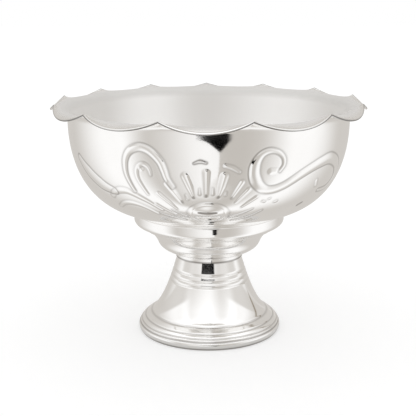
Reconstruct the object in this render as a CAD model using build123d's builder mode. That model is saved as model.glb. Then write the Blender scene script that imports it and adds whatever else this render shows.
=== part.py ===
from build123d import *
import os
from math import cos, radians, sin

# Footed offering bowl of polished plated sheet, in millimetres.
# It stands on the plane z = 0, its axis is +Z and the front lobe of its lip faces -Y.

# Heights above the table
seam_height = 49.4
bowl_bottom_height = 80.2
wall_straight_height = 136.0
wall_top_height = 144.5
cusp_height = 150.2

# Bowl, whose wall is drawn out from the flat bottom and up to the straight side by its two pulls
bowl_sheet = 1.2
bowl_flat_radius = 38.8
wall_radius = 88.8
wall_floor_pull = 31.4
wall_side_pull = 33.2

# Scalloped lip, with lobes that curl over between raised cusps and are widest near the front
lobe_count = 13
lobe_drift = 6.6
widest_lobe_angle = 8.0
lip_sheet = 0.8
lip_overlap = 1.0
lip_root_rise = 3.8
cusp_overhang = 8.3
cusp_lean = 3.9
cusp_lean_drop = 1.2
lobe_overhang = 10.0
lobe_drop = 4.5
lobe_curl = 4.8
lobe_crest_rise = 3.4

# Spun collar under the bowl
collar_sheet = 1.2
collar_radius = 48.5
collar_land_width = 14.0
collar_bead_height = 4.9
collar_bead_round = 2.0
cove_bead_pull = 4.9
cove_waist_pull = 7.0
waist_radius = 37.8
waist_height = 66.6
waist_slope = 46.0
waist_ring_width = 1.8
waist_ring_height = 0.6
waist_ring_bite = 0.3
cup_waist_pull = 10.2
cup_bottom_pull = 12.3
cup_bottom_radius = 24.7
cup_bottom_rise = 3.7
cup_bottom_slope = 23.0
neck_radius = 21.7
neck_round = 1.4

# Bell foot
foot_sheet = 1.2
foot_top_radius = 20.9
bell_top_pull = 11.9
bell_top_slope = 73.0
bell_flare_pull = 10.7
flare_radius = 38.4
flare_height = 12.2
flare_slope = 37.0
apron_flare_pull = 4.2
apron_bead_pull = 3.0
bead_root_radius = 45.9
bead_root_height = 5.4
bead_root_slope = 66.0
foot_radius = 46.9
rest_outer_radius = 45.4
rest_width = 2.2
bell_groove_distances = (8.4, 12.4, 15.8)
apron_groove_distances = (4.4, 7.4)
groove_width = 1.4
groove_depth = 0.4

# Centre fastening, hidden in the collar and the foot
stud_radius = 4.0
stud_clearance = 0.25
plate_radius = 14.0
plate_thickness = 2.0
washer_radius = 11.0
washer_thickness = 1.8
lock_washer_radius = 7.2
lock_washer_thickness = 2.0
lock_washer_gap = 1.6
nut_across_flats = 13.0
nut_height = 6.5
nut_chamfer = 0.8
thread_clearance = 0.05
stud_beyond_nut = 2.0
stud_chamfer = 0.8

# Reach of the lip, which hangs over beyond the wall
cusp_radius = wall_radius + cusp_overhang
lobe_radius = wall_radius + lobe_overhang

# Bottom of the collar's cup, which stands over the seam on the neck
cup_bottom_height = seam_height + cup_bottom_rise

# The stack that the stud clamps, from the seam downwards
hole_radius = stud_radius + stud_clearance
foot_top_underside = seam_height - foot_sheet
washer_underside = foot_top_underside - washer_thickness
lock_washer_underside = washer_underside - lock_washer_thickness
nut_underside = lock_washer_underside - nut_height
stud_end = nut_underside - stud_beyond_nut
plate_underside = bowl_bottom_height - plate_thickness

sheet_stations = 9

os.makedirs("parts", exist_ok=True)


def turned(degrees):
    """Direction in a meridian section, turned up from outwards."""
    return Vector(cos(radians(degrees)), sin(radians(degrees)))


def left_of(direction):
    return Vector(-direction.Y, direction.X)


def sheet_back(front, thickness):
    """Curve at the sheet's thickness to the left of its front, or to the right if it is negative."""
    places = [station / (sheet_stations - 1) for station in range(sheet_stations)]
    points = [front @ place + left_of(front % place) * thickness for place in places]
    return Spline(*points, tangents=(front % 0, front % 1))


def lip_angle(step):
    """Angle from -Y towards +X, where whole steps are lobe middles and half steps are cusps."""
    even = 360 * step / lobe_count
    return even + lobe_drift * sin(radians(even - widest_lobe_angle))


def lobe_width_ratio(step):
    """Width of the lobe at a whole step against an evenly divided lip."""
    return (lip_angle(step + 0.5) - lip_angle(step - 0.5)) * lobe_count / 360


def meridian(angle):
    """Plane through the axis, with local x outwards at the angle and local y upwards."""
    outwards = (sin(radians(angle)), -cos(radians(angle)), 0)
    across = (-cos(radians(angle)), -sin(radians(angle)), 0)
    return Plane(origin=(0, 0, 0), x_dir=outwards, z_dir=across)


def lip_section(angle, handle, edge):
    """Closed section of the lip sheet, rooted inside the top of the wall and ending at the edge."""
    root_radius = wall_radius - (bowl_sheet - lip_sheet) / 2
    root_height = wall_top_height - lip_overlap
    with BuildSketch(meridian(angle)) as section:
        with BuildLine():
            outside = Bezier(
                (root_radius, root_height),
                (root_radius, root_height + lip_root_rise),
                handle,
                edge,
            )
            inside = sheet_back(outside, lip_sheet)
            Line(outside @ 0, inside @ 0)
            Line(outside @ 1, inside @ 1)
        make_face()
    return section.sketch


def cusp_section(step):
    handle = (cusp_radius - cusp_lean, cusp_height - cusp_lean_drop)
    return lip_section(lip_angle(step), handle, (cusp_radius, cusp_height))


def lobe_section(step):
    edge_height = cusp_height - lobe_drop * lobe_width_ratio(step) ** 2
    handle = (lobe_radius - lobe_curl, edge_height + lobe_crest_rise)
    return lip_section(lip_angle(step), handle, (lobe_radius, edge_height))


# Bowl: a pressed sheet with a flat bottom and a lip drawn out into lobes that meet in cusps
with BuildPart() as bowl_shell:
    with BuildSketch(Plane.XZ):
        with BuildLine():
            bottom = Line((0, bowl_bottom_height), (bowl_flat_radius, bowl_bottom_height))
            wall = Bezier(
                bottom @ 1,
                (bowl_flat_radius + wall_floor_pull, bowl_bottom_height),
                (wall_radius, wall_straight_height - wall_side_pull),
                (wall_radius, wall_straight_height),
            )
            side = Line(wall @ 1, (wall_radius, wall_top_height))
            inner_wall = sheet_back(wall, bowl_sheet)
            inner_top = (wall_radius - bowl_sheet, wall_top_height)
            inner_bottom = (0, bowl_bottom_height + bowl_sheet)
            Polyline(side @ 1, inner_top, inner_wall @ 1)
            Polyline(inner_wall @ 0, inner_bottom, bottom @ 0)
        make_face()
    revolve(axis=Axis.Z)
    for lobe in range(lobe_count):
        loft(sections=[cusp_section(lobe - 0.5), lobe_section(lobe), cusp_section(lobe + 0.5)])
bowl_shell.part.label = "bowl_shell"
export_step(bowl_shell.part, "parts/bowl_shell.step")

# Collar: a spun cup with a rounded lower cup, a waist ring, a cove and a beaded top
with BuildPart() as collar:
    with BuildSketch(Plane.XZ):
        with BuildLine():
            cup_bottom = Vector(cup_bottom_radius, cup_bottom_height)
            waist = Vector(waist_radius, waist_height)
            bead_bottom = Vector(collar_radius, bowl_bottom_height - collar_bead_height)
            bead_top = Vector(collar_radius, bowl_bottom_height - collar_bead_round)
            land_outer = Vector(collar_radius - collar_bead_round, bowl_bottom_height)
            neck_top = Vector(neck_radius, cup_bottom_height - neck_round)
            neck = Line((neck_radius, seam_height), neck_top)
            front_curves = [
                Bezier(
                    neck_top,
                    neck_top + turned(90) * neck_round / 2,
                    cup_bottom - turned(cup_bottom_slope) * neck_round,
                    cup_bottom,
                ),
                Bezier(
                    cup_bottom,
                    cup_bottom + turned(cup_bottom_slope) * cup_bottom_pull,
                    waist - turned(waist_slope) * cup_waist_pull,
                    waist,
                ),
                Bezier(
                    waist,
                    waist + turned(waist_slope) * cove_waist_pull,
                    bead_bottom - turned(90) * cove_bead_pull,
                    bead_bottom,
                ),
            ]
            bead = Line(bead_bottom, bead_top)
            RadiusArc(bead_top, land_outer, -collar_bead_round)
            land = Line(land_outer, (collar_radius - collar_land_width, bowl_bottom_height))
            back_curves = [sheet_back(curve, collar_sheet) for curve in front_curves]
            back_corner = Vector(collar_radius, bowl_bottom_height) - Vector(collar_sheet, collar_sheet)
            Polyline(neck @ 0, (neck_radius - collar_sheet, seam_height), back_curves[0] @ 0)
            Polyline(back_curves[-1] @ 1, back_corner, land @ 1 - Vector(0, collar_sheet), land @ 1)
        make_face()
    revolve(axis=Axis.Z)
    with BuildSketch(Plane.XY.offset(seam_height)):
        Circle(neck_radius - collar_sheet / 2)
        Circle(hole_radius, mode=Mode.SUBTRACT)
    extrude(amount=collar_sheet)
    with BuildSketch(Plane.XZ):
        outwards = turned(waist_slope - 90)
        ring_top = waist + outwards * waist_ring_height
        ring_root = waist - outwards * waist_ring_bite
        half_ring = turned(waist_slope) * waist_ring_width / 2
        with BuildLine():
            Polyline(ring_root - half_ring, ring_top, ring_root + half_ring, close=True)
        make_face()
    revolve(axis=Axis.Z)
collar.part.label = "collar"
export_step(collar.part, "parts/collar.step")

# Foot: a spun bell with a flared apron and a beaded base that stands on a flat ring
with BuildPart() as foot:
    with BuildSketch(Plane.XZ):
        with BuildLine():
            bell_top = Vector(foot_top_radius, seam_height)
            flare = Vector(flare_radius, flare_height)
            bead_root = Vector(bead_root_radius, bead_root_height)
            bell = Bezier(
                bell_top,
                bell_top + turned(-bell_top_slope) * bell_top_pull,
                flare - turned(-flare_slope) * bell_flare_pull,
                flare,
            )
            apron = Bezier(
                flare,
                flare + turned(-flare_slope) * apron_flare_pull,
                bead_root - turned(-bead_root_slope) * apron_bead_pull,
                bead_root,
            )
            base_bead = ThreePointArc(
                bead_root,
                (foot_radius, bead_root_height / 2),
                (rest_outer_radius, 0),
            )
            rest = Line(base_bead @ 1, (rest_outer_radius - rest_width, 0))
            bell_back = sheet_back(bell, -foot_sheet)
            apron_back = sheet_back(apron, -foot_sheet)
            Line(rest @ 1, apron_back @ 1)
            Line(bell_back @ 0, bell @ 0)
        make_face()
    revolve(axis=Axis.Z)
    with BuildSketch(Plane.XY.offset(foot_top_underside)):
        Circle(foot_top_radius - foot_sheet / 2)
        Circle(hole_radius, mode=Mode.SUBTRACT)
    extrude(amount=foot_sheet)
    grooves = [(bell, distance) for distance in bell_groove_distances]
    grooves += [(apron, distance) for distance in apron_groove_distances]
    for curve, distance in grooves:
        place = distance / curve.length
        outwards = left_of(curve % place) * groove_depth
        groove_root = curve @ place - outwards
        groove_mouth = curve @ place + outwards
        half_mouth = curve % place * groove_width
        with BuildSketch(Plane.XZ):
            with BuildLine():
                Polyline(groove_mouth - half_mouth, groove_root, groove_mouth + half_mouth, close=True)
            make_face()
        revolve(axis=Axis.Z, mode=Mode.SUBTRACT)
foot.part.label = "foot"
export_step(foot.part, "parts/foot.step")

# Stud: a round plate brazed under the bowl, with the rod that draws the three sheets together
with BuildPart() as stud:
    with BuildSketch(Plane.XY.offset(plate_underside)):
        Circle(plate_radius)
    extrude(amount=plate_thickness)
    with BuildSketch(Plane.XY.offset(stud_end)):
        Circle(stud_radius)
    extrude(amount=plate_underside - stud_end)
    chamfer(stud.edges().sort_by(Axis.Z)[0], stud_chamfer)
stud.part.label = "stud"
export_step(stud.part, "parts/stud.step")

# Backing washer: spreads the nut's pull over the foot's thin top
with BuildPart() as backing_washer:
    with BuildSketch(Plane.XY.offset(washer_underside)):
        Circle(washer_radius)
        Circle(hole_radius, mode=Mode.SUBTRACT)
    extrude(amount=washer_thickness)
backing_washer.part.label = "backing_washer"
export_step(backing_washer.part, "parts/backing_washer.step")

# Lock washer: a split ring drawn flat under the nut
with BuildPart() as lock_washer:
    with BuildSketch(Plane.XY.offset(lock_washer_underside)):
        Circle(lock_washer_radius)
        Circle(hole_radius, mode=Mode.SUBTRACT)
        with Locations((lock_washer_radius / 2, 0)):
            Rectangle(lock_washer_radius, lock_washer_gap, mode=Mode.SUBTRACT)
    extrude(amount=lock_washer_thickness)
lock_washer.part.label = "lock_washer"
export_step(lock_washer.part, "parts/lock_washer.step")

# Nut: a plain hexagon with its lower corners turned off
with BuildPart() as hex_nut:
    with BuildSketch(Plane.XY.offset(nut_underside)):
        RegularPolygon(nut_across_flats / 2, 6, major_radius=False)
        Circle(stud_radius + thread_clearance, mode=Mode.SUBTRACT)
    extrude(amount=nut_height)
    chamfer(hex_nut.edges().group_by(Axis.Z)[0].filter_by(GeomType.LINE), nut_chamfer)
hex_nut.part.label = "hex_nut"
export_step(hex_nut.part, "parts/hex_nut.step")
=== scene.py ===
import math
from collections import namedtuple

import bpy
import numpy as np
from mathutils import Matrix, Vector


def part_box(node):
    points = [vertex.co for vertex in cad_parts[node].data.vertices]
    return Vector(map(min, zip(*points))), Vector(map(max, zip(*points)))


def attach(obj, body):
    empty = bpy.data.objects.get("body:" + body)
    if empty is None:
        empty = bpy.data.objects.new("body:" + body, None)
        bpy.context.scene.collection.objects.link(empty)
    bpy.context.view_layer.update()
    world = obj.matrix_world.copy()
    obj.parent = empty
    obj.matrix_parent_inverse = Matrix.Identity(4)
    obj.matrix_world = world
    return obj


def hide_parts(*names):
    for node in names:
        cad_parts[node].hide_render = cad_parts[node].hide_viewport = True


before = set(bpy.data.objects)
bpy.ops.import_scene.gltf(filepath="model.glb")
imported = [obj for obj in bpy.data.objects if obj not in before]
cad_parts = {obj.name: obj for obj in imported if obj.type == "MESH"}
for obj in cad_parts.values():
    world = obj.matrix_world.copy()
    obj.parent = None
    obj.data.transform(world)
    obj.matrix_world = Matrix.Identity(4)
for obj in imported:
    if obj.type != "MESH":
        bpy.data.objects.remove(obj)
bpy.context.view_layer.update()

# Lengths are in millimetres, and MM turns them into the frame's metres where a mesh is made.
MM = 0.001

# Heights and sizes that the frame gives
FOOT_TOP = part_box("foot")[1].z / MM
COLLAR_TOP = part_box("collar")[1].z / MM
COLLAR_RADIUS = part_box("collar")[1].x / MM

# Thickness of the sheet, and the hole that the stud goes through
SHEET = 1.2
HOLE_RADIUS = 4.25

# Bowl. A pull is the length of a curve's handle. The wall's curve ends a little higher than in the
# solid, which gives the dark reflection near the rim its slanting edge.
FLAT_RADIUS = 38.8
WALL_RADIUS = 88.8
WALL_FLOOR_PULL = 31.4
WALL_SIDE_PULL = 37.2
WALL_CURVE_TOP = 140.0
WALL_TOP = 143.5
WALL_CURVE_SAMPLES = 600
WALL_SIDE_SAMPLES = 4
WALL_ROWS = 210
INNER_ROW_STEP = 4
FLAT_ROW_RADII = (8.0, 16.0, 24.0, 32.0, 36.0)
BOWL_SHARP_DEGREES = 60

# Scalloped lip: lobes that meet in cusps. The widths of the lobes drift round the rim, by LOBE_DRIFT
# degrees. Cusp values are (radius, height) in the lip's section.
LOBES = 13
LOBE_DRIFT = 6.6
WIDEST_LOBE_ANGLE = 8.0
LOBE_COLUMNS = 96
LIP_ROWS = 24
LIP_SHEET = 0.8
LIP_RISE = 3.8
CUSP_EDGE = (97.1, 150.2)
CUSP_HANDLE = (93.2, 149.0)
LOBE_RADIUS = 98.8
LOBE_DROP = 4.5
LOBE_CURL = 4.8
LOBE_CREST_RISE = 3.4

# How quickly the satin of the inside takes over on the lip, in from its edge
LIP_SATIN_RAMP = 3.0

# Rolled edge of the lip, and the painted dark reflection along it: its turn round the roll and how wide it
# spreads
EDGE_BEAD = 0.75
EDGE_BEAD_ROWS = 12
EDGE_BEAD_SWEEP = 130
EDGE_REFLECTION_SPREAD = math.radians(38)
EDGE_REFLECTION_FRONT = math.radians(22)
EDGE_REFLECTION_BACK = math.radians(-98)

# Camera, from the photograph's own perspective: the frame is 416 pixels square
FRAME_PIXELS = 416
FRAME_MIDDLE = (FRAME_PIXELS - 1) / 2
FOCAL_PIXELS = 948.0
CAMERA_DISTANCE = 598.7
CAMERA_HEIGHT = 226.0
CAMERA_PITCH = 13.66
CAMERA_YAW = -0.06
CAMERA_ROLL = -0.2
SENSOR_MM = 36.0
NEAREST_SEEN_M = 0.01
FARTHEST_SEEN_M = 50.0

# Stretch of each sight line on which the bowl's wall is looked for
SIGHT_REACH = 1.3 * WALL_RADIUS
SIGHT_STEPS = 3000


def bezier(points, count):
    """Points along a cubic curve, evenly spaced in its parameter."""
    p = np.array(points, float)
    t = np.linspace(0, 1, count)[:, None]
    return (1 - t) ** 3 * p[0] + 3 * (1 - t) ** 2 * t * p[1] + 3 * (1 - t) * t**2 * p[2] + t**3 * p[3]


def swept(start, end, pulls, count):
    """Curve that leaves its start along the first pull and comes to its end along the second."""
    return bezier([start, start + pulls[0], end - pulls[1], end], count)


def straight(start, end, count):
    """Points along a straight line."""
    t = np.linspace(0, 1, count)[:, None]
    return (1 - t) * np.array(start, float) + t * np.array(end, float)


def arc(centre, radius, start_degrees, end_degrees, count):
    """Points along part of a circle."""
    a = np.radians(np.linspace(start_degrees, end_degrees, count))
    return np.array(centre, float) + radius * np.stack([np.cos(a), np.sin(a)], axis=1)


def turned(degrees):
    """Direction in a meridian section, turned up from outwards."""
    return np.array([math.cos(math.radians(degrees)), math.sin(math.radians(degrees))])


def joined(*stretches):
    """One run of points from several that meet end to end."""
    return np.concatenate([stretches[0]] + [s[1:] for s in stretches[1:]])


def evenly_spaced(points, count):
    """The same line with its points at equal distances."""
    steps = np.linalg.norm(np.diff(points, axis=0), axis=1)
    along = np.concatenate([[0], np.cumsum(steps)])
    wanted = np.linspace(0, along[-1], count)
    return np.stack([np.interp(wanted, along, points[:, i]) for i in range(points.shape[1])], axis=1)


def right_normals(points):
    """Unit normals to the right of a line of section points."""
    d = np.gradient(points, axis=-2)
    n = np.stack([d[..., 1], -d[..., 0]], axis=-1)
    return n / np.linalg.norm(n, axis=-1, keepdims=True)


def bump_at(distance, width):
    """1 at no distance, falling away smoothly over the width."""
    return np.exp(-((distance / width) ** 2))


def grid_faces(rows, columns, wrap_rows):
    """Quads of a grid whose columns close into a ring, and whose rows do too if wrap_rows is true."""
    i = np.arange(rows if wrap_rows else rows - 1)[:, None]
    j = np.arange(columns)[None, :]
    below = i * columns
    above = (i + 1) % rows * columns
    right = (j + 1) % columns
    quads = np.stack([below + j, below + right, above + right, above + j], axis=-1)
    return quads.reshape(-1, 4).tolist()


def new_piece(name, vertices, faces, sharp_degrees):
    """Smooth shaded object in the frame, from points in millimetres."""
    mesh = bpy.data.meshes.new(name)
    mesh.from_pydata((np.asarray(vertices) * MM).tolist(), [], faces)
    mesh.polygons.foreach_set("use_smooth", [True] * len(mesh.polygons))
    mesh.set_sharp_from_angle(angle=math.radians(sharp_degrees))
    mesh.validate()
    obj = bpy.data.objects.new(name, mesh)
    bpy.context.scene.collection.objects.link(obj)
    return obj


def add_attribute(obj, name, values):
    """Gives a mesh a value at each point, for its material."""
    layer = obj.data.attributes.new(name, "FLOAT", "POINT")
    layer.data.foreach_set("value", values.astype(np.float32))


def dress(obj, node, material):
    """The piece takes its material and rides on the one body, and the CAD node it stands for is hidden."""
    obj.data.materials.append(material)
    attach(obj, "root")
    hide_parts(node)


# Camera

def make_camera():
    data = bpy.data.cameras.new("camera")
    data.sensor_width = SENSOR_MM
    data.lens = FOCAL_PIXELS / FRAME_PIXELS * SENSOR_MM
    data.clip_start = NEAREST_SEEN_M
    data.clip_end = FARTHEST_SEEN_M
    camera = bpy.data.objects.new("camera", data)
    place = Matrix.Translation(Vector((0, -CAMERA_DISTANCE, CAMERA_HEIGHT)) * MM)
    yaw = Matrix.Rotation(math.radians(-CAMERA_YAW), 4, "Z")
    pitch = Matrix.Rotation(math.radians(90 - CAMERA_PITCH), 4, "X")
    roll = Matrix.Rotation(math.radians(CAMERA_ROLL), 4, "Z")
    camera.matrix_world = place @ yaw @ pitch @ roll
    bpy.context.scene.collection.objects.link(camera)
    bpy.context.scene.camera = camera
    return camera


def eye_and_axes(camera):
    """The camera's place, and its directions to the right, up and back as columns."""
    eye = np.array(camera.matrix_world.translation) / MM
    return eye, np.array(camera.matrix_world.to_3x3())


def seen_at(camera, points):
    """Pixels of the photograph at which the camera sees these points."""
    eye, axes = eye_and_axes(camera)
    x, y, z = ((points - eye) @ axes).T
    return np.stack([FRAME_MIDDLE - FOCAL_PIXELS * x / z, FRAME_MIDDLE + FOCAL_PIXELS * y / z], axis=1)


# Wall of the bowl, which the ornament is drawn on

def wall_section():
    """Outer section of the bowl's wall from the flat bottom up to the lip."""
    curve = bezier(
        [
            (FLAT_RADIUS, COLLAR_TOP),
            (FLAT_RADIUS + WALL_FLOOR_PULL, COLLAR_TOP),
            (WALL_RADIUS, WALL_CURVE_TOP - WALL_SIDE_PULL),
            (WALL_RADIUS, WALL_CURVE_TOP),
        ],
        WALL_CURVE_SAMPLES,
    )
    side = straight(curve[-1], (WALL_RADIUS, WALL_TOP), WALL_SIDE_SAMPLES)
    return evenly_spaced(joined(curve, side), WALL_ROWS)


def wall_points(camera, pixels):
    """Points of the bowl's wall that the camera sees at these pixels of the photograph."""
    section = wall_section()
    eye, axes = eye_and_axes(camera)
    reach = np.linspace(CAMERA_DISTANCE - SIGHT_REACH, CAMERA_DISTANCE + SIGHT_REACH, SIGHT_STEPS)
    found = []
    for x, y in pixels:
        ray = axes @ np.array([x - FRAME_MIDDLE, FRAME_MIDDLE - y, -FOCAL_PIXELS])
        ray /= np.linalg.norm(ray)
        places = eye + reach[:, None] * ray
        radius = np.interp(places[:, 2], section[:, 1], section[:, 0], left=0, right=0)
        inside = np.hypot(places[:, 0], places[:, 1]) <= radius
        if inside.any():
            found.append(places[np.argmax(inside)])
    return np.array(found)


# Ornament: raised strokes on the front of the bowl, traced at pixels of the photograph.
# Widths are in millimetres, spread evenly along the stroke. Slope is the rise of its flanks
# against their width, and line is how deep a chased line is cut along its edge and how much shade is
# painted in it.
Stroke = namedtuple("Stroke", "pixels widths slope line")

FAN = [
    Stroke([(205.7, 172), (205.7, 184), (205.6, 195.5)], (4.6, 2.6), 0.30, 0.25),
    Stroke([(184.6, 175.5), (189.2, 186), (193.2, 197)], (5.0, 4.4, 1.8), 0.34, 0.25),
    Stroke([(224.6, 175.5), (221.4, 186), (218, 196.5)], (5.0, 4.4, 1.8), 0.34, 0.25),
    Stroke([(166.8, 183), (174.6, 193), (182, 202.5)], (4.2, 3.4, 1.6), 0.34, 0.25),
    Stroke([(242, 181.5), (236.4, 189.8), (230.8, 198)], (3.2, 2.6, 1.4), 0.34, 0.35),
    Stroke([(248.6, 188.8), (241.8, 195.6), (235, 202.2)], (3.0, 2.4, 1.4), 0.36, 0.3),
    Stroke([(256.2, 196.4), (248.4, 201.6), (240.6, 206.7)], (2.8, 2.4, 1.4), 0.36, 0.3),
    Stroke([(158, 193), (167.6, 201), (177, 208.6)], (3.2, 2.8, 1.6), 0.34, 0.3),
    Stroke([(156, 203.6), (166, 209), (176, 214)], (2.8, 2.4, 1.6), 0.34, 0.35),
]

# Between the flutes of the fan
DROPS = [
    Stroke([(199, 188.5), (199.2, 194)], (1.2, 2.0), 0.3, 0.5),
    Stroke([(212.6, 188), (212.2, 194)], (1.2, 2.0), 0.3, 0.5),
    Stroke([(185.2, 194.5), (187.2, 199)], (1.4, 1.8), 0.3, 0.4),
    Stroke([(226, 191.5), (225, 195)], (1.2, 1.6), 0.3, 0.4),
]

# Above the fan
DASHES = [
    Stroke([(193.4, 163), (199.5, 161.2), (205.6, 162.6)], (1.2, 2.0, 1.4), 0.30, 1.5),
    Stroke([(225, 165.2), (232.4, 167.4), (239, 171.4)], (2.4, 3.0, 2.4), 0.34, 0.5),
]

LEFT_LOOP = [
    Stroke(
        [
            (134.5, 190), (129.6, 182), (126.2, 174.5), (124.6, 167), (124.6, 158.8),
            (127.2, 152.2), (132.2, 148), (139.2, 146.4), (147, 149), (154, 154.6),
            (160, 161.8), (163.6, 170), (166.5, 178), (172, 186),
        ],
        (2.8, 3.6, 4.4, 5.0, 5.0, 4.6, 3.4),
        0.30,
        0.9,
    ),
    Stroke(
        [
            (147.4, 193.5), (141.8, 185.5), (137.2, 177.5), (135.8, 170.5), (137.6, 165.4),
            (142, 163.3), (146.6, 165.6), (149.2, 170), (150.4, 174.5),
        ],
        (2.2, 3.0, 3.0, 1.6),
        0.26,
        0.55,
    ),
    Stroke([(139.4, 167), (140.6, 168)], (3.4, 3.4), 0.36, 0.1),
]

LEFT_LEAF = [
    Stroke(
        [
            (112.5, 195), (114, 191.6), (118.6, 189.6), (125, 189.8), (132, 192.4),
            (140, 196.6), (150, 202), (162, 209.4),
        ],
        (3.6, 5.0, 4.4, 2.2),
        0.28,
        0.55,
    ),
    Stroke(
        [(120.6, 205), (123.6, 202.4), (129, 201.8), (137, 203.4), (147, 207.4), (158, 213)],
        (2.6, 3.8, 2.2),
        0.28,
        0.55,
    ),
    Stroke(
        [(79.5, 157), (86, 167.5), (94.5, 177.4), (104, 185.2), (115, 190.5)],
        (5.0, 9.0, 9.0, 5.0),
        0.10,
        1.2,
    ),
]

RIGHT_SCROLL = [
    Stroke(
        [
            (279.5, 170.3), (283.6, 164), (283.4, 157), (278.5, 151.8), (270.5, 150),
            (262.5, 153.2), (256.8, 160.2), (254, 168.5), (254.3, 177), (257.8, 184.5),
            (264.5, 189), (273, 188.8), (283, 185), (292, 179.6), (301, 173.6), (311, 167.2),
            (321, 161.3), (330, 157.4), (335.4, 161.5), (334.8, 170), (331, 178.5),
            (324.5, 186), (317, 189.3),
        ],
        (2.4, 3.0, 3.2, 4.2, 6.6, 7.2, 5.8, 5.6, 6.0, 6.4, 7.6, 6.6, 4.6, 2.6),
        0.28,
        0.95,
    ),
    Stroke([(270.5, 171), (275.5, 170.6)], (4.4, 4.0), 0.34, 0.2),
    Stroke([(316, 180), (315.2, 184.5)], (2.8, 2.8), 0.3, 0.4),
]

# Under the scroll
MARKS = [
    Stroke([(262, 200.5), (264, 201)], (1.8, 1.8), 0.3, 0.6),
    Stroke([(268, 198.4), (269.5, 197.8)], (1.6, 1.6), 0.3, 0.5),
    Stroke([(274, 201.2), (276, 200.4)], (1.8, 1.8), 0.3, 0.6),
    Stroke([(297, 204.3), (301, 202)], (1.4, 1.0), 0.3, 1.4),
]

# Low rays on both sides of the boss
FAN_FOOT = [
    Stroke([(231, 219.6), (246, 216.2), (261, 209.8)], (2.0, 1.8, 1.4), 0.4, 0.8),
    Stroke([(229.5, 216), (240, 213.2), (252, 208.4)], (1.8, 1.6, 1.2), 0.4, 0.7),
    Stroke([(160, 212.4), (172, 216.2), (185, 219)], (1.4, 1.8, 2.0), 0.4, 0.8),
    Stroke([(172, 209.4), (179, 212.4), (187, 215)], (1.2, 1.6, 1.8), 0.4, 0.7),
]

# Small punched marks at the lower ends of the flutes with painted shade in them, and a painted reflection
# of a dark slit across the boss, drawn as a shallow line
PAINTED_DARK_MARKS = [
    Stroke([(181.5, 201), (182, 202)], (0.8, 0.8), 0.1, 1.0),
    Stroke([(192.7, 196.8), (193, 197.8)], (0.8, 0.8), 0.1, 1.2),
    Stroke([(205.6, 195.2), (205.6, 196.2)], (0.8, 0.8), 0.1, 1.2),
    Stroke([(218, 196.4), (217.7, 197.4)], (0.8, 0.8), 0.1, 1.2),
    Stroke([(231.4, 197.4), (231, 198)], (0.8, 0.8), 0.1, 0.8),
    # Painted reflection of a dark slit across the boss
    Stroke([(198.6, 210.6), (207, 210.8), (215.4, 210.6)], (0.6, 0.9, 0.6), 0.1, 1.6),
]

ORNAMENT = FAN + DROPS + DASHES + LEFT_LOOP + LEFT_LEAF + RIGHT_SCROLL + MARKS + FAN_FOOT + PAINTED_DARK_MARKS

# Turns about the axis at which the ornament stands, in degrees: the front and the back
ORNAMENT_TURNS = (0, 180)
STROKE_SAMPLES = 12
CREST_ROUND = 0.3
CHASED_DEPTH = 0.12
CHASED_WIDTH = 0.5
CHASED_REACH = 3 * CHASED_WIDTH
# Shade painted into the chased lines, as a share of their strength
CHASED_PAINTED_SHADE = 0.62

# Oval boss below the fan: its middle and reach in pixels of the photograph, and rises in millimetres.
# The places and widths of its ring and its chased line are shares of that reach.
BOSS_CENTRE = (207.7, 211.8)
BOSS_REACH = (20.5, 9.5)
BOSS_RISE = 1.7
BOSS_RING = 0.86
BOSS_RING_RISE = 0.5
BOSS_RING_WIDTH = 0.09
BOSS_LINE = 1.04
BOSS_LINE_WIDTH = 0.05
BOSS_LINE_STRENGTH = 0.6
FAR_FROM_BOSS = 2.0


def smooth_line(points):
    """Curve through the points, closely sampled."""
    p = np.concatenate([[2 * points[0] - points[1]], points, [2 * points[-1] - points[-2]]])
    t = np.linspace(0, 1, STROKE_SAMPLES, endpoint=False)[:, None]
    runs = []
    for a, b, c, d in zip(p, p[1:], p[2:], p[3:]):
        slope = c - a
        bend = 2 * a - 5 * b + 4 * c - d
        twist = 3 * b - a - 3 * c + d
        runs.append(0.5 * (2 * b + slope * t + bend * t**2 + twist * t**3))
    return np.concatenate(runs + [points[-1:]])


def about_axis(points, degrees):
    """The points turned about the bowl's axis."""
    c = math.cos(math.radians(degrees))
    s = math.sin(math.radians(degrees))
    return points @ np.array([[c, s, 0], [-s, c, 0], [0, 0, 1]])


def stroke_relief(line, stroke, points):
    """How far a stroke raises each point, as a ridge with a rounded crest, and its chased edge there."""
    along = np.linspace(0, 1, len(line))
    half_widths = np.interp(along, np.linspace(0, 1, len(stroke.widths)), stroke.widths) / 2
    squared = ((points[:, None, :] - line[None, :, :]) ** 2).sum(axis=2)
    nearest = squared.argmin(axis=1)
    distance = np.sqrt(squared[np.arange(len(points)), nearest])
    half = half_widths[nearest]
    fall = np.hypot(1, CREST_ROUND) - np.hypot(distance / half, CREST_ROUND)
    edge = stroke.line * bump_at(distance - half, CHASED_WIDTH)
    return stroke.slope * half * np.clip(fall, 0, None), edge


def boss_relief(camera, points):
    """Low oval dome with a raised ring near its edge, and the chased line round it, which is cut in and
    painted with shade.
    """
    across, down = ((seen_at(camera, points) - BOSS_CENTRE) / BOSS_REACH).T
    share = np.where(points[:, 1] < 0, np.hypot(across, down), FAR_FROM_BOSS)
    dome = BOSS_RISE * np.clip(1 - share**2, 0, 1)
    ring = BOSS_RING_RISE * bump_at(share - BOSS_RING, BOSS_RING_WIDTH)
    return dome + ring, BOSS_LINE_STRENGTH * bump_at(share - BOSS_LINE, BOSS_LINE_WIDTH)


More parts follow.
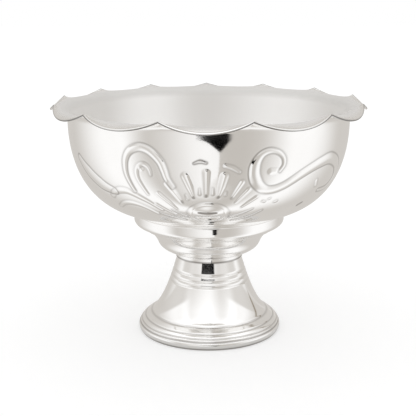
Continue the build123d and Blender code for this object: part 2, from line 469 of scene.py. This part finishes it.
def ornament_relief(camera, wall):
    """Relief of the ornament at each point of the wall's grid, and its chased lines, which are cut in and
    painted dark: as shade, and as a reflection in the slit across the boss.
    """
    raised = np.zeros(wall.shape[:2])
    chased = np.zeros(wall.shape[:2])
    flat = wall.reshape(-1, 3)
    for turn in ORNAMENT_TURNS:
        up, line = boss_relief(camera, about_axis(flat, -turn))
        raised += up.reshape(raised.shape)
        chased = np.maximum(chased, line.reshape(raised.shape))
        for stroke in ORNAMENT:
            placed = about_axis(smooth_line(wall_points(camera, stroke.pixels)), turn)
            margin = max(stroke.widths) / 2 + CHASED_REACH
            past_low = wall > placed.min(axis=0) - margin
            before_high = wall < placed.max(axis=0) + margin
            near = (past_low & before_high).all(axis=2)
            up, line = stroke_relief(placed, stroke, wall[near])
            raised[near] = np.maximum(raised[near], up)
            chased[near] = np.maximum(chased[near], line)
    return softened(raised - CHASED_DEPTH * chased), chased


def softened(field):
    """The field with each value drawn towards its neighbours, as pressing rounds the metal."""
    across = (np.roll(field, 1, axis=1) + 2 * field + np.roll(field, -1, axis=1)) / 4
    padded = np.pad(across, ((1, 1), (0, 0)), mode="edge")
    return (padded[:-2] + 2 * padded[1:-1] + padded[2:]) / 4


# Bowl

def lip_angle(step):
    """Angle in degrees from -Y towards +X, where whole steps are lobe middles and half steps are cusps."""
    even = 360 * step / LOBES
    return even + LOBE_DRIFT * np.sin(np.radians(even - WIDEST_LOBE_ANGLE))


def lip_sections(steps):
    """Outer section of the lip at each column: an array of columns, rows and (radius, height)."""
    lobe = np.round(steps)
    width = (lip_angle(lobe + 0.5) - lip_angle(lobe - 0.5)) * LOBES / 360
    fullness = (1 - (2 * (steps - lobe)) ** 2)[:, None]
    lobe_heights = CUSP_EDGE[1] - LOBE_DROP * width**2
    lobe_edge = np.stack([np.full_like(width, LOBE_RADIUS), lobe_heights], axis=1)
    lobe_handle = lobe_edge + np.array([-LOBE_CURL, LOBE_CREST_RISE])
    edge = (1 - fullness) * np.array(CUSP_EDGE) + fullness * lobe_edge
    handle = (1 - fullness) * np.array(CUSP_HANDLE) + fullness * lobe_handle
    root = np.broadcast_to(np.array([WALL_RADIUS, WALL_TOP]), edge.shape)
    rise = root + np.array([0, LIP_RISE])
    controls = np.stack([root, rise, handle, edge])
    return np.stack([bezier(controls[:, column], LIP_ROWS) for column in range(len(steps))])


def edge_bead_sweep():
    """Turns round the rolled edge, one for each of its rows, from the outside to the inside."""
    return np.radians(np.linspace(EDGE_BEAD_SWEEP, -EDGE_BEAD_SWEEP, EDGE_BEAD_ROWS))


def edge_bead(sections, normals):
    """Rolled edge of the lip: rows that go round the end of the sheet, from its outside to its inside."""
    ends = sections[:, -1] - normals[:, -1] * LIP_SHEET / 2
    onwards = sections[:, -1] - sections[:, -2]
    onwards /= np.linalg.norm(onwards, axis=1, keepdims=True)
    sweep = edge_bead_sweep()[None, :, None]
    return ends[:, None] + EDGE_BEAD * (np.cos(sweep) * onwards[:, None] + np.sin(sweep) * normals[:, -1:])


def painted_edge_reflection(angles):
    """Painted dark reflection along the rolled edge, which turns inwards from the front of the rim to the
    back.
    """
    towards_back = (1 - np.cos(angles)) / 2
    line_turn = EDGE_REFLECTION_FRONT + (EDGE_REFLECTION_BACK - EDGE_REFLECTION_FRONT) * towards_back
    return bump_at(edge_bead_sweep()[:, None] - line_turn, EDGE_REFLECTION_SPREAD)


def make_bowl(camera, material):
    """Bowl as rings of points, from under its bottom over the lip's edge to the floor inside."""
    steps = (np.arange(LOBES * LOBE_COLUMNS) + 0.5 * LOBE_COLUMNS) / LOBE_COLUMNS
    angles = np.radians(lip_angle(steps))
    outwards = np.stack([np.sin(angles), -np.cos(angles)], axis=1)
    columns = len(angles)

    def placed(rows):
        """Points in space from rows of (radius, height), one row for each ring."""
        ring = rows[:, :, :1] * outwards[None, :, :]
        return np.concatenate([ring, rows[:, :, 1:]], axis=2)

    def all_round(section):
        """The same section at every column."""
        return np.repeat(section[:, None, :], columns, axis=1)

    section = wall_section()
    normals = right_normals(section)
    relief, chased = ornament_relief(camera, placed(all_round(section)))
    wall = all_round(section) + relief[:, :, None] * normals[:, None, :]
    inner_wall = all_round(section - SHEET * normals)[::-INNER_ROW_STEP]

    lip = lip_sections(steps)
    lip_normals = right_normals(lip)
    sheet = np.linspace(SHEET, LIP_SHEET, LIP_ROWS)[None, :, None]
    inner_lip = (lip - sheet * lip_normals)[:, ::-1]
    bead = edge_bead(lip, lip_normals)

    flat = np.array([(radius, COLLAR_TOP) for radius in FLAT_ROW_RADII])
    inner_flat = (flat + np.array([0, SHEET]))[::-1]
    rows = [
        all_round(flat),
        wall[:-1],
        lip[:, :-1].transpose(1, 0, 2),
        bead.transpose(1, 0, 2),
        inner_lip[:, 1:-1].transpose(1, 0, 2),
        inner_wall,
        all_round(inner_flat),
    ]
    grid = placed(np.concatenate(rows))
    count = len(grid)

    # The flat bottom closes on one point below and one inside.
    poles = np.array([(0, 0, COLLAR_TOP), (0, 0, COLLAR_TOP + SHEET)])
    vertices = np.concatenate([grid.reshape(-1, 3), poles])
    faces = grid_faces(count, columns, wrap_rows=False)
    bottom = count * columns
    top = bottom + 1
    last = (count - 1) * columns
    for j in range(columns):
        following = (j + 1) % columns
        faces.append([bottom, following, j])
        faces.append([top, last + j, last + following])
    bowl = new_piece("bowl", vertices, faces, BOWL_SHARP_DEGREES)

    # Values for the material: painted shade in the chased lines, the painted dark reflection on the edge,
    # and the satin inside with its painted reflection bands
    wall_start = len(flat)
    bead_start = wall_start + len(wall) - 1 + LIP_ROWS - 1
    bead_end = bead_start + EDGE_BEAD_ROWS
    # Painted shade in the chased lines, and a painted reflection in the slit across the boss
    painted_darkening = np.zeros((count, columns))
    painted_darkening[wall_start : wall_start + len(wall) - 1] = CHASED_PAINTED_SHADE * chased[:-1]
    # Painted dark reflection along the rolled edge
    painted_edge_reflections = np.zeros((count, columns))
    painted_edge_reflections[bead_start:bead_end] = painted_edge_reflection(angles)
    lip_satin = np.clip(np.linspace(0, LIP_SATIN_RAMP, LIP_ROWS - 2), 0, 1)
    inside_rows = len(inner_wall) + len(inner_flat)
    insides = np.concatenate([np.zeros(bead_end), lip_satin, np.ones(inside_rows)])
    add_attribute(bowl, "painted_shade_and_reflection", np.append(painted_darkening, (0, 0)))
    add_attribute(bowl, "edge", np.append(painted_edge_reflections, (0, 0)))
    add_attribute(bowl, "inside", np.append(np.repeat(insides, columns), (0, 1)))
    dress(bowl, "bowl_shell", material)


# Collar and foot

# A turned ring or groove at a height, and how much shade is painted in it. Those without a rise are
# only painted shadow: the line at the seam between collar and foot, and the line where the foot stands.
Ring = namedtuple("Ring", "height rise width dark")

COLLAR_RINGS = [
    Ring(69.2, 0.5, 0.8, 0.0),
    Ring(70.7, -0.3, 0.5, 0.5),
    # Painted shadow line at the seam between collar and foot
    Ring(49.7, 0.0, 0.5, 0.9),
]
FOOT_RINGS = [
    # Painted shadow line at the seam between collar and foot
    Ring(49.2, 0.0, 0.4, 0.9),
    Ring(41.3, -0.4, 0.55, 0.1),
    Ring(37.4, -0.4, 0.55, 0.1),
    Ring(34.2, -0.4, 0.55, 0.1),
    Ring(12.4, -0.4, 0.8, 0.35),
    Ring(9.4, -0.35, 0.5, 0.45),
    Ring(7.2, -0.35, 0.5, 0.45),
    Ring(5.3, -0.5, 0.5, 0.7),
    # Painted contact shadow where the foot stands on the floor
    Ring(0.7, 0.0, 0.7, 0.85),
]

# Collar: points of its section as (radius, height), slopes in degrees and the pulls of its curves
NECK_RADIUS = 21.7
NECK_TOP = np.array([NECK_RADIUS, 51.7])
NECK_ROUND = 1.4
CUP_BOTTOM = np.array([24.7, 53.1])
CUP_BOTTOM_SLOPE = 23.0
CUP_BOTTOM_PULL = 12.3
CUP_WAIST_PULL = 10.2
WAIST = np.array([37.8, 66.6])
WAIST_SLOPE = 46.0
COVE_WAIST_PULL = 7.0
COVE_BEAD_PULL = 4.9
COLLAR_BEAD_HEIGHT = 4.9
COLLAR_BEAD_ROUND = 2.0
COLLAR_LAND = 14.0
SOLDER_RISE = 0.55
DISC_RADIUS = 12.0

# Foot, in the same way
FOOT_TOP_RADIUS = 20.9
FLARE = np.array([38.4, 12.2])
FLARE_SLOPE = -37.0
BELL_TOP_SLOPE = -73.0
BELL_TOP_PULL = 11.9
BELL_FLARE_PULL = 10.7
APRON_FLARE_PULL = 4.2
APRON_BEAD_PULL = 3.0
BEAD_ROOT = np.array([45.9, 5.4])
BEAD_ROOT_SLOPE = -66.0
BEAD_SHOULDER = np.array([47.1, 4.2])
BEAD_FOOT = np.array([46.9, 1.2])
REST_EDGE = np.array([45.4, 0.0])
FOOT_REST_WIDTH = 2.2

# How finely both are drawn, before and after their points are spread evenly. The foot's bead is solid,
# so its last rows have no back.
NECK_SAMPLES = 6
NECK_ROUND_SAMPLES = 16
CUP_SAMPLES = 40
COVE_SAMPLES = 40
BEAD_SIDE_SAMPLES = 8
BEAD_ROUND_SAMPLES = 12
BELL_SAMPLES = 120
APRON_SAMPLES = 40
FOOT_BEAD_SAMPLES = 24
LAND_SAMPLES = 4
LATHE_COLUMNS = 256
LATHE_SHARP_DEGREES = 50
FRONT_ROWS = 240
BACK_ROW_STEP = 4
BEAD_ROWS_WITHOUT_BACK = 21


def ringed(section, rings, outwards):
    """The section with each ring raised or groove cut along its normals, and how much shade is painted at
    each point.
    """
    shaped = section.copy()
    dark = np.zeros(len(section))
    for ring in rings:
        middle = section[np.abs(section[:, 1] - ring.height).argmin()]
        share = bump_at(np.linalg.norm(section - middle, axis=1), ring.width)
        shaped += ring.rise * share[:, None] * outwards
        dark = np.maximum(dark, ring.dark * share)
    return shaped, dark


def make_lathe(name, loop, front_start, dark):
    """Closed ring of metal with this section, whose points run anticlockwise from the axis outwards."""
    angles = np.linspace(0, 2 * math.pi, LATHE_COLUMNS, endpoint=False)
    x = loop[:, :1] * np.sin(angles)
    y = -loop[:, :1] * np.cos(angles)
    z = np.repeat(loop[:, 1:], LATHE_COLUMNS, axis=1)
    vertices = np.stack([x, y, z], axis=2).reshape(-1, 3)
    faces = grid_faces(len(loop), LATHE_COLUMNS, wrap_rows=True)
    piece = new_piece(name, vertices, faces, LATHE_SHARP_DEGREES)
    # Painted shade in the grooves, and painted shadow at the seam and where the foot stands
    painted_darkening = np.zeros(len(loop))
    painted_darkening[front_start : front_start + len(dark)] = dark
    add_attribute(piece, "painted_shade_and_reflection", np.repeat(painted_darkening, LATHE_COLUMNS))
    return piece


def make_collar(material):
    """Collar: a neck on the foot, a cup, a cove and a bead under the bowl, with a disc for the stud."""
    bead_bottom = np.array([COLLAR_RADIUS, COLLAR_TOP - COLLAR_BEAD_HEIGHT])
    bead_centre = np.array([COLLAR_RADIUS, COLLAR_TOP + SOLDER_RISE]) - COLLAR_BEAD_ROUND
    up = turned(90)
    along_cup = turned(CUP_BOTTOM_SLOPE)
    along_waist = turned(WAIST_SLOPE)
    neck_pulls = (up * NECK_ROUND / 2, along_cup * NECK_ROUND)
    cup_pulls = (along_cup * CUP_BOTTOM_PULL, along_waist * CUP_WAIST_PULL)
    cove_pulls = (along_waist * COVE_WAIST_PULL, up * COVE_BEAD_PULL)
    front = joined(
        straight((NECK_RADIUS, FOOT_TOP), NECK_TOP, NECK_SAMPLES),
        swept(NECK_TOP, CUP_BOTTOM, neck_pulls, NECK_ROUND_SAMPLES),
        swept(CUP_BOTTOM, WAIST, cup_pulls, CUP_SAMPLES),
        swept(WAIST, bead_bottom, cove_pulls, COVE_SAMPLES),
        straight(bead_bottom, (COLLAR_RADIUS, bead_centre[1]), BEAD_SIDE_SAMPLES),
        arc(bead_centre, COLLAR_BEAD_ROUND, 0, 90, BEAD_ROUND_SAMPLES),
    )
    front = evenly_spaced(front, FRONT_ROWS)
    front, dark = ringed(front, COLLAR_RINGS, right_normals(front))
    back = (front - SHEET * right_normals(front))[::-BACK_ROW_STEP]
    back = back[back[:, 1] > FOOT_TOP + SHEET]
    land = straight(front[-1], (COLLAR_RADIUS - COLLAR_LAND, COLLAR_TOP), LAND_SAMPLES)[1:]
    land_under = (land - np.array([0, SHEET]))[::-1]
    disc = np.array([(HOLE_RADIUS, FOOT_TOP), (DISC_RADIUS, FOOT_TOP)])
    disc_top = (disc + np.array([0, SHEET]))[::-1]
    loop = np.concatenate([disc, front, land, land_under, back, disc_top])
    collar = make_lathe("collar_spinning", loop, len(disc), dark)
    dress(collar, "collar", material)


def make_foot(material):
    """Foot: a bell with grooves, an apron and a solid bead to stand on, with a disc for the stud."""
    bell_top = np.array([FOOT_TOP_RADIUS, FOOT_TOP])
    along_flare = turned(FLARE_SLOPE)
    bell_pulls = (turned(BELL_TOP_SLOPE) * BELL_TOP_PULL, along_flare * BELL_FLARE_PULL)
    apron_pulls = (along_flare * APRON_FLARE_PULL, turned(BEAD_ROOT_SLOPE) * APRON_BEAD_PULL)
    front = joined(
        swept(bell_top, FLARE, bell_pulls, BELL_SAMPLES),
        swept(FLARE, BEAD_ROOT, apron_pulls, APRON_SAMPLES),
        bezier([BEAD_ROOT, BEAD_SHOULDER, BEAD_FOOT, REST_EDGE], FOOT_BEAD_SAMPLES),
    )
    front = evenly_spaced(front, FRONT_ROWS)
    outwards = -right_normals(front)
    front, dark = ringed(front, FOOT_RINGS, outwards)
    back = (front - SHEET * outwards)[:-BEAD_ROWS_WITHOUT_BACK][::-BACK_ROW_STEP]
    back = back[back[:, 1] < FOOT_TOP - SHEET]
    rest = straight(REST_EDGE, REST_EDGE - np.array([FOOT_REST_WIDTH, 0]), LAND_SAMPLES)[1:]
    disc_under = np.array([(DISC_RADIUS, FOOT_TOP - SHEET), (HOLE_RADIUS, FOOT_TOP - SHEET)])
    disc_top = (disc_under + np.array([0, SHEET]))[::-1]
    loop = np.concatenate([front, rest, back, disc_under, disc_top])[::-1]
    foot = make_lathe("bell_foot", loop, len(loop) - len(front), dark[::-1])
    dress(foot, "foot", material)


# Materials. Tints are red, green, blue and opacity.

# Polished silver, with painted shade in its hollows, grooves and seams, and a painted dark reflection
# along the lip's edge
SILVER_BRIGHT = (0.955, 0.950, 0.940, 1)
SILVER_CLOUDED = (0.935, 0.928, 0.915, 1)
# Colour of the painted shade in hollows, grooves and seams, and of painted dark reflections such as the
# boss's slit
PAINTED_SHADE_AND_REFLECTION_TINT = (0.30, 0.285, 0.27, 1)
# Colour of the painted dark reflection along the lip's rolled edge
PAINTED_EDGE_REFLECTION_TINT = (0.12, 0.113, 0.105, 1)
CLOUD_DETAIL = 4.0
CLOUD_TINT_STEP = (0.3, 0.7)
CLOUD_ROUGH_STEP = (0.3, 0.75, 0.035, 0.065)
BUFFING = {"Scale": 900.0, "Detail": 3.0}
BUFFING_ROUGHNESS = 0.03
BUFFING_BUMP = {"Strength": 0.012, "Distance": 0.0004}

# Satin inside of the bowl, with two bright bands of painted reflection given by their turn round the bowl
# and their reach in degrees. The tint is darker on the lip's inside, from the heights of the lip's step,
# in metres.
SATIN_TINT = (0.765, 0.75, 0.73, 1)
REFLECTION_BAND_TINT = (0.99, 0.985, 0.975, 1)
LEFT_REFLECTION_BAND = (-29.0, 27.0)
RIGHT_REFLECTION_BAND = (35.0, 36.0)
BAND_CORE = 2.0
LIP_DARKER_TINT = (0.66, 0.645, 0.625, 1)
LIP_DARKER_STEP = (0.142, 0.147, 0.0, 0.85)
SATIN_ROUGHNESS = 0.5
SATIN_LESS_METALLIC = 0.85

# Unpolished metal of the hidden fastening
PATCH_DETAIL = 6.0
PATCH_TINT_STEP = (0.35, 0.65)
PATCH_ROUGH_STEP = (0.3, 0.7)
PATCH_ROUGHNESS = 0.15
TOOL_MARKS = {"Scale": 700.0, "Distortion": 1.5, "Detail": 2.0}
TOOL_MARK_BUMP = {"Strength": 0.1, "Distance": 0.0002}


class Nodes:
    """Short way to add nodes to a material or world and link them."""

    def __init__(self, owner):
        owner.use_nodes = True
        self.tree = owner.node_tree
        self.tree.nodes.clear()

    def add(self, kind, inputs=None, **settings):
        node = self.tree.nodes.new(kind)
        for name, value in settings.items():
            setattr(node, name, value)
        for key, value in (inputs or {}).items():
            if isinstance(value, bpy.types.NodeSocket):
                self.tree.links.new(value, node.inputs[key])
            else:
                node.inputs[key].default_value = value
        return node

    def math(self, operation, *values):
        return self.add("ShaderNodeMath", dict(enumerate(values)), operation=operation).outputs[0]

    def total(self, first, *others):
        for value in others:
            first = self.math("ADD", first, value)
        return first

    def product(self, first, *others):
        for value in others:
            first = self.math("MULTIPLY", first, value)
        return first

    def without(self, value):
        """What is left of 1."""
        return self.math("SUBTRACT", 1.0, value)

    def span(self, value, low, high, out_low=0.0, out_high=1.0):
        """Smooth step from out_low to out_high as value goes from low to high."""
        inputs = {"Value": value, 1: low, 2: high, 3: out_low, 4: out_high}
        return self.add("ShaderNodeMapRange", inputs, interpolation_type="SMOOTHSTEP").outputs[0]

    def mixed(self, factor, a, b):
        inputs = {"Factor": factor, 6: a, 7: b}
        return self.add("ShaderNodeMix", inputs, data_type="RGBA").outputs[2]

    def attribute(self, name):
        return self.add("ShaderNodeAttribute", attribute_name=name).outputs["Fac"]

    def noise(self, place, **inputs):
        return self.add("ShaderNodeTexNoise", {"Vector": place, **inputs}).outputs["Fac"]

    def metal(self, tint, metallic, rough, bump):
        """Finishes a metal's material."""
        inputs = {"Base Color": tint, "Metallic": metallic, "Roughness": rough, "Normal": bump}
        shader = self.add("ShaderNodeBsdfPrincipled", inputs)
        self.add("ShaderNodeOutputMaterial", {"Surface": shader.outputs[0]})


def satin_inside(n, coords):
    """Tint of the bowl's inside, with painted reflection bands and a darker lip, the same at the front and
    the back.
    """
    x, y, z = n.add("ShaderNodeSeparateXYZ", {0: coords}).outputs
    turn = n.math("DEGREES", n.math("ARCTAN2", x, n.math("ABSOLUTE", y)))

    def band(centre, reach):
        return n.span(n.math("ABSOLUTE", n.math("SUBTRACT", turn, centre)), reach, BAND_CORE)

    # Two bright bands of painted reflection round the inside
    bands = n.total(band(*LEFT_REFLECTION_BAND), band(*RIGHT_REFLECTION_BAND))
    tint = n.mixed(bands, SATIN_TINT, REFLECTION_BAND_TINT)
    return n.mixed(n.span(z, *LIP_DARKER_STEP), tint, LIP_DARKER_TINT)


def silver(name, cloud_scale):
    """Polished silver plate: faint cloudiness, buffing marks, painted shade in the hollows, a painted dark
    reflection on the lip's edge and painted reflection bands inside.
    """
    material = bpy.data.materials.new(name)
    n = Nodes(material)
    coords = n.add("ShaderNodeTexCoord").outputs["Object"]
    cloud = n.noise(coords, Scale=cloud_scale, Detail=CLOUD_DETAIL)
    buffing = n.noise(coords, **BUFFING)
    inside = n.attribute("inside")
    tint = n.mixed(n.span(cloud, *CLOUD_TINT_STEP), SILVER_BRIGHT, SILVER_CLOUDED)
    # Painted shade in hollows, grooves and seams, and a painted reflection in the boss's slit
    tint = n.mixed(n.attribute("painted_shade_and_reflection"), tint, PAINTED_SHADE_AND_REFLECTION_TINT)
    # Painted dark reflection along the lip's rolled edge
    tint = n.mixed(n.attribute("edge"), tint, PAINTED_EDGE_REFLECTION_TINT)
    # Satin inside, with painted reflection bands
    tint = n.mixed(inside, tint, satin_inside(n, coords))
    rough = n.total(
        n.span(cloud, *CLOUD_ROUGH_STEP),
        n.product(buffing, BUFFING_ROUGHNESS),
        n.product(inside, SATIN_ROUGHNESS),
    )
    metallic = n.without(n.product(inside, SATIN_LESS_METALLIC))
    bump = n.add("ShaderNodeBump", {**BUFFING_BUMP, "Height": buffing}).outputs[0]
    n.metal(tint, metallic, rough, bump)
    return material


def plain_metal(name, light, dark, roughness, scale):
    """Unpolished turned metal with tool marks and dull patches."""
    material = bpy.data.materials.new(name)
    n = Nodes(material)
    coords = n.add("ShaderNodeTexCoord").outputs["Object"]
    patches = n.noise(coords, Scale=scale, Detail=PATCH_DETAIL)
    marks = n.add(
        "ShaderNodeTexWave",
        {"Vector": coords, **TOOL_MARKS},
        wave_type="RINGS",
        rings_direction="Z",
    ).outputs["Fac"]
    tint = n.mixed(n.span(patches, *PATCH_TINT_STEP), light, dark)
    rough = n.span(patches, *PATCH_ROUGH_STEP, roughness, roughness + PATCH_ROUGHNESS)
    bump = n.add("ShaderNodeBump", {**TOOL_MARK_BUMP, "Height": marks}).outputs[0]
    n.metal(tint, 1.0, rough, bump)
    return material


def finish_node(node, material):
    """Gives a CAD node that shows as it is its finished material."""
    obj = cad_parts[node]
    obj.data.materials.clear()
    obj.data.materials.append(material)


# Studio: a white floor, and a tent of light that only the metal's reflections see. Turn is an angle in
# degrees round the bowl, from the front towards the right, and lift is one up from level. A pair is
# where a smooth step starts and ends. Four values are a step with what it goes from and to.
WHITE = (1, 1, 1, 1)

# Floor, in metres. The metal mirrors it only as far out as FLOOR_MIRROR_RADIUS, and less bright.
FLOOR_HALF = 4.0
FLOOR_WHITE = 0.62
FLOOR_GLOW = 0.43
FLOOR_GRAIN = 0.004
FLOOR_GRAIN_NOISE = {"Scale": 60.0, "Detail": 2.0}
FLOOR_MIRROR_RADIUS = 0.056
FLOOR_MIRROR_SHARE = 0.3
FLOOR_MIRROR_HUE = (1.0, 0.93, 0.85, 1)

# Cloth of the tent, and the hue of the light that is added to it
TENT_BASE = (0.64, 0.615, 0.585)
GLOW_HUE = (1.0, 1.05, 1.12)
TOP_GLOW = (40.0, 75.0, 0.0, 0.33)

# Upright panels of light at the sides, which fade from their cores, with a dimmer strip across them.
# The tent's dark seam and a faint dim patch are panels that take light away.
Panel = namedtuple("Panel", "turn left_reach right_reach strength")
LEFT_PANEL = Panel(-79.0, 62.0, 32.0, 0.40)
RIGHT_PANEL = Panel(80.0, 42.0, 52.0, 0.40)
TENT_SEAM = Panel(122.0, 4.0, 3.0, -0.36)
RIGHT_DIM = Panel(22.0, 24.0, 24.0, -0.06)
PANEL_CORE = 0.15
PANEL_GAP_LOW = (3.0, 8.0)
PANEL_GAP_HIGH = (25.0, 20.0)
PANEL_GAP = 0.2

# Light from the front. Below level it ends at the lens, and above level it is weaker and ends further
# right, where the upper fill joins it.
LEVEL = (0.0, 8.0)
FRONT_FILL_LEFT = (-52.0, 0.0, 0.0, 0.36)
FRONT_FILL_LOW = (-74.0, -54.0)
FRONT_FILL_RIGHT = (4.0, 36.0)
FRONT_FILL_ABOVE = 0.5
UPPER_FILL = (8.0, 40.0, 0.13, 0.34)
UPPER_FILL_SIDES = (76.0, 54.0)

# Dark opening for the lens, in two parts with a gap between. Its left edge stands at LENS_LEFT, leans
# out to the left above the corner and curves in to LENS_TAIL below it, and grows blurred further down.
LENS_BLACK = (0.003, 0.003, 0.003, 1)
LENS_LEFT = -9.5
LENS_LEFT_BLUR = (-36.0, -54.0, 1.2, 50.0)
LENS_CORNER_LIFT = -9.2
LENS_TOP_LEAN = (LENS_CORNER_LIFT, 3.0, 0.0, -16.0)
LENS_TAIL_LIFT = -18.0
LENS_TAIL = 8.5
LENS_RIGHT = (20.0, 14.0)
LENS_LOW = (-20.0, -17.5)
LENS_LOW_LEAN = (6.0, 19.0, 0.0, 9.0)
LENS_GAP_LOW = (-8.5, -6.5)
LENS_GAP_HIGH = (15.5, 14.0)
LENS_HIGH = (18.3, 17.3)


def past_lens_edge(n, turn, lift):
    """1 to the right of the lens's left edge and 0 to the left of it."""
    corner_to_tail = {"Value": lift, 1: LENS_CORNER_LIFT, 2: LENS_TAIL_LIFT, 3: 0.0, 4: 1.0}
    tail_share = n.math("SQRT", n.add("ShaderNodeMapRange", corner_to_tail).outputs[0])
    edge = n.math("MULTIPLY_ADD", tail_share, LENS_TAIL - LENS_LEFT, LENS_LEFT)
    edge = n.total(edge, n.span(lift, *LENS_TOP_LEAN))
    half_blur = n.product(n.span(lift, *LENS_LEFT_BLUR), 0.5)
    return n.span(n.math("SUBTRACT", turn, edge), n.product(half_blur, -1.0), half_blur)


def lens_opening(n, turn, lift, past):
    """1 in the dark opening and 0 around it."""
    low_edge = n.math("SUBTRACT", lift, n.span(turn, *LENS_LOW_LEAN))
    gap = n.product(n.span(lift, *LENS_GAP_LOW), n.span(lift, *LENS_GAP_HIGH))
    return n.product(
        past,
        n.span(turn, *LENS_RIGHT),
        n.span(low_edge, *LENS_LOW),
        n.without(gap),
        n.span(lift, *LENS_HIGH),
    )


def tent_glow(n, turn, lift, past):
    """Light in the tent, over that of its cloth."""
    level = n.span(lift, *LEVEL)

    def panel(spec):
        away = n.math("SUBTRACT", turn, spec.turn)
        left_share = n.math("DIVIDE", away, -spec.left_reach)
        share = n.math("MAXIMUM", left_share, n.math("DIVIDE", away, spec.right_reach))
        return n.span(share, 1.0, PANEL_CORE, 0.0, spec.strength)

    front = n.product(
        n.span(turn, *FRONT_FILL_LEFT),
        n.without(n.product(past, n.without(level))),
        n.without(n.product(level, n.span(turn, *FRONT_FILL_RIGHT))),
        n.span(level, 0.0, 1.0, 1.0, FRONT_FILL_ABOVE),
        n.span(lift, *FRONT_FILL_LOW),
    )
    upper = n.product(
        level,
        n.span(lift, *UPPER_FILL),
        n.span(n.math("ABSOLUTE", turn), *UPPER_FILL_SIDES),
    )
    gap = n.product(n.span(lift, *PANEL_GAP_LOW), n.span(lift, *PANEL_GAP_HIGH))
    sides = n.product(
        n.total(panel(LEFT_PANEL), panel(RIGHT_PANEL)),
        n.span(gap, 0.0, 1.0, 1.0, PANEL_GAP),
    )
    seam = n.product(level, panel(TENT_SEAM))
    return n.total(sides, seam, n.total(front, upper), panel(RIGHT_DIM), n.span(lift, *TOP_GLOW))


def make_world():
    """The tent for the metal's reflections, and plain white for all else."""
    world = bpy.data.worlds.new("studio")
    bpy.context.scene.world = world
    n = Nodes(world)
    direction = n.add("ShaderNodeTexCoord").outputs["Generated"]
    x, y, z = n.add("ShaderNodeSeparateXYZ", {0: direction}).outputs
    turn = n.math("DEGREES", n.math("ARCTAN2", x, n.product(y, -1.0)))
    lift = n.math("DEGREES", n.math("ARCSINE", z))
    past = past_lens_edge(n, turn, lift)
    glow = tent_glow(n, turn, lift, past)
    parts = {i: n.product(glow, share) for i, share in enumerate(GLOW_HUE)}
    added = n.add("ShaderNodeCombineColor", parts).outputs[0]
    tent = n.add("ShaderNodeVectorMath", {0: TENT_BASE, 1: added}, operation="ADD").outputs[0]
    tent = n.mixed(lens_opening(n, turn, lift, past), tent, LENS_BLACK)
    mirrored = n.add("ShaderNodeLightPath").outputs["Is Glossy Ray"]
    back = n.add("ShaderNodeBackground", {"Color": n.mixed(mirrored, WHITE, tent), "Strength": 1.0})
    n.add("ShaderNodeOutputWorld", {"Surface": back.outputs[0]})


def white_floor():
    """White that keeps the bowl's shadow. The metal sees it only close by, and the tent beyond."""
    material = bpy.data.materials.new("white_floor")
    n = Nodes(material)
    path = n.add("ShaderNodeLightPath")
    mirrored = path.outputs["Is Glossy Ray"]
    place = n.add("ShaderNodeNewGeometry").outputs["Position"]
    away = n.add("ShaderNodeVectorMath", {0: place}, operation="LENGTH").outputs["Value"]
    grain = n.noise(place, **FLOOR_GRAIN_NOISE)
    tint = n.mixed(grain, (FLOOR_WHITE,) * 3 + (1,), (FLOOR_WHITE + FLOOR_GRAIN,) * 3 + (1,))
    diffuse = n.add("ShaderNodeBsdfDiffuse", {"Color": tint}).outputs[0]
    shown = n.math("MAXIMUM", path.outputs["Is Camera Ray"], n.product(mirrored, FLOOR_MIRROR_SHARE))
    hue = n.mixed(mirrored, WHITE, FLOOR_MIRROR_HUE)
    strength = n.product(shown, FLOOR_GLOW)
    glow = n.add("ShaderNodeEmission", {"Color": hue, "Strength": strength}).outputs[0]
    lit = n.add("ShaderNodeAddShader", {0: diffuse, 1: glow}).outputs[0]
    through = n.product(n.math("GREATER_THAN", away, FLOOR_MIRROR_RADIUS), mirrored)
    clear = n.add("ShaderNodeBsdfTransparent").outputs[0]
    surface = n.add("ShaderNodeMixShader", {0: through, 1: lit, 2: clear}).outputs[0]
    n.add("ShaderNodeOutputMaterial", {"Surface": surface})
    return material


def make_floor(material):
    mesh = bpy.data.meshes.new("floor")
    h = FLOOR_HALF
    mesh.from_pydata([(-h, -h, 0), (h, -h, 0), (h, h, 0), (-h, h, 0)], [], [(0, 1, 2, 3)])
    mesh.materials.append(material)
    floor = bpy.data.objects.new("floor", mesh)
    bpy.context.scene.collection.objects.link(floor)


camera = make_camera()
bpy.context.view_layer.update()
make_bowl(camera, silver("bowl_silver", cloud_scale=38.0))
make_collar(silver("collar_silver", cloud_scale=47.0))
make_foot(silver("foot_silver", cloud_scale=55.0))
brass = plain_metal(
    "turned_brass",
    light=(0.74, 0.58, 0.31, 1),
    dark=(0.58, 0.43, 0.21, 1),
    roughness=0.28,
    scale=160.0,
)
zinc = plain_metal(
    "zinc_steel",
    light=(0.64, 0.64, 0.65, 1),
    dark=(0.50, 0.50, 0.50, 1),
    roughness=0.32,
    scale=220.0,
)
finish_node("stud", brass)
finish_node("hex_nut", brass)
finish_node("backing_washer", zinc)
finish_node("lock_washer", zinc)
make_world()
make_floor(white_floor())
bpy.context.scene.view_settings.view_transform = "Standard"
